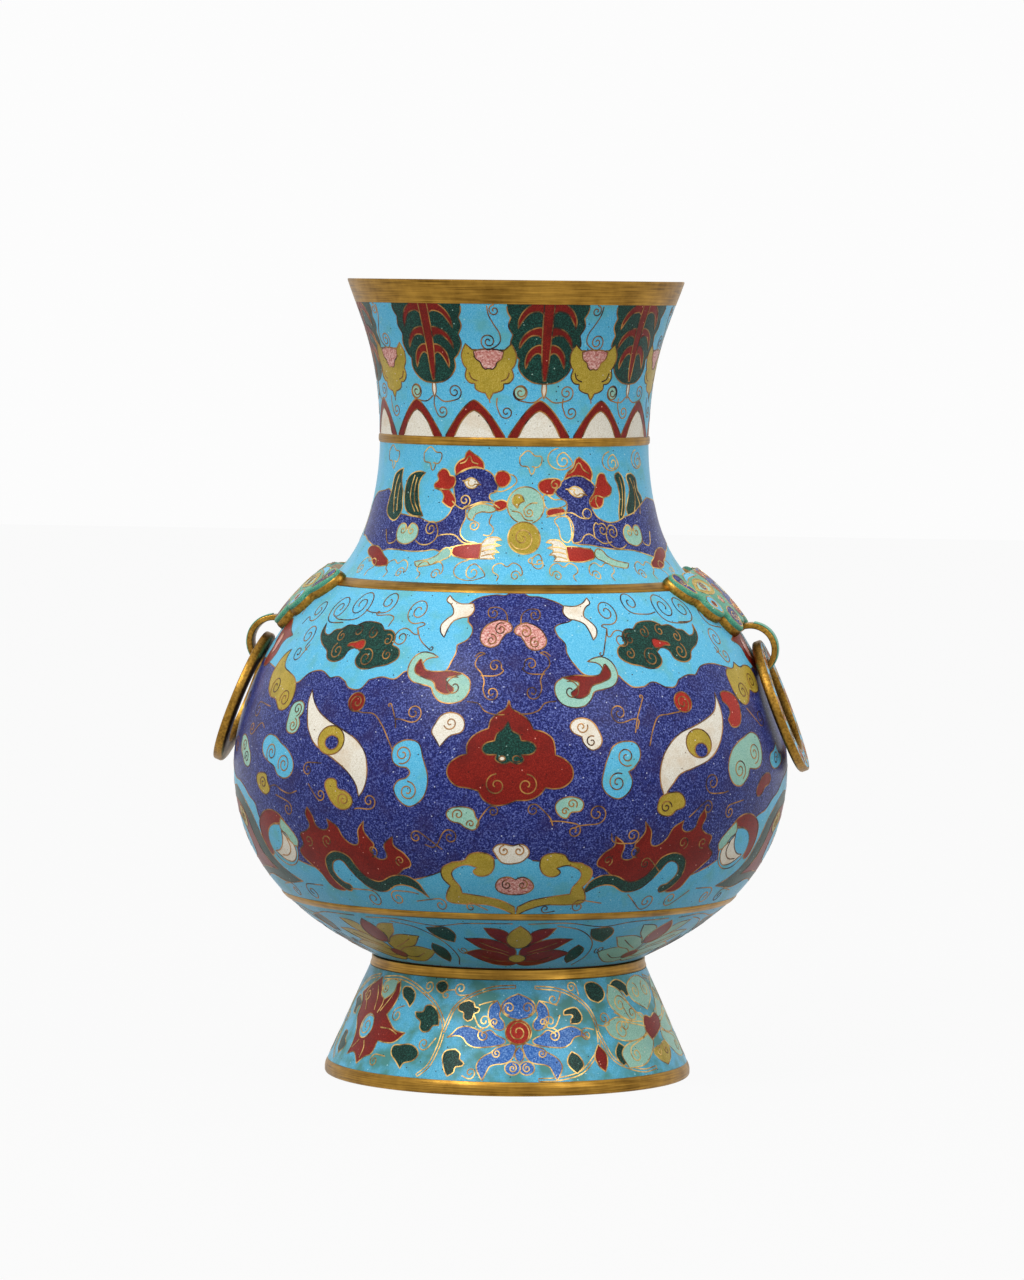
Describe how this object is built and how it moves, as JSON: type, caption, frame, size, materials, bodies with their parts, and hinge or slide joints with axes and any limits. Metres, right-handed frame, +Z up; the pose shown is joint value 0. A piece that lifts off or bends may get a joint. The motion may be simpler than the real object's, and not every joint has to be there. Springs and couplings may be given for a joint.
{
  "type": "cloisonne hu vase",
  "caption": "Footed baluster vase with a flared mouth, enamelled panels between gilt bands, and beast masks on the shoulder that carry loose swinging rings.",
  "frame": {"origin": "centre of the foot on the surface that the vase stands on", "axes": "+Z up along the vase's axis; the mask and ring handles lie on +X and -X; the front of the decoration faces -Y"},
  "size_m": [0.2864, 0.2654, 0.38],
  "materials": {
    "gilt": "fire-gilt copper, brushed and worn to brown in the hollows",
    "copper": "beaten copper sheet, dull and browned",
    "neck_enamel": "opaque polished enamel, turquoise ground",
    "body_enamel": "opaque polished enamel, lapis and turquoise grounds",
    "bowl_enamel": "opaque polished enamel, turquoise ground",
    "foot_enamel": "opaque polished enamel, turquoise ground",
    "mask_enamel": "opaque polished enamel, green-turquoise ground",
    "hook_enamel": "opaque polished enamel, dark blue",
    "ring_enamel": "opaque polished enamel, turquoise ground"
  },
  "bodies": {
    "vase": {"neck_shell": "copper", "body_shell": "copper", "bowl_shell": "copper", "foot_shell": "copper", "neck_leaf_enamel": "neck_enamel", "neck_beast_enamel": "neck_enamel", "body_mask_enamel": "body_enamel", "bowl_lotus_enamel": "bowl_enamel", "foot_lotus_enamel": "foot_enamel", "mouth_rim": "gilt", "neck_band": "gilt", "shoulder_band": "gilt", "belly_band": "gilt", "foot_collar": "gilt", "foot_rim": "gilt", "base_plate": "gilt", "left_mask_casting": "gilt", "left_mask_enamel": "mask_enamel", "left_hook": "gilt", "left_hook_enamel": "hook_enamel", "left_front_stud": "gilt", "left_front_washer": "gilt", "left_back_stud": "gilt", "left_back_washer": "gilt", "right_mask_casting": "gilt", "right_mask_enamel": "mask_enamel", "right_hook": "gilt", "right_hook_enamel": "hook_enamel", "right_front_stud": "gilt", "right_front_washer": "gilt", "right_back_stud": "gilt", "right_back_washer": "gilt"},
    "left_ring": {"left_ring": "gilt", "left_ring_enamel": "ring_enamel"},
    "right_ring": {"right_ring": "gilt", "right_ring_enamel": "ring_enamel"}
  },
  "joints": [
    {"name": "left_ring_swing", "type": "hinge", "parent": "vase", "child": "left_ring", "pos_m": [-0.1146, 0, 0.2055], "axis": [0, 1, 0], "range_deg": [0, 45]},
    {"name": "right_ring_swing", "type": "hinge", "parent": "vase", "child": "right_ring", "pos_m": [0.1146, 0, 0.2055], "axis": [0, -1, 0], "range_deg": [0, 45]}
  ]
}
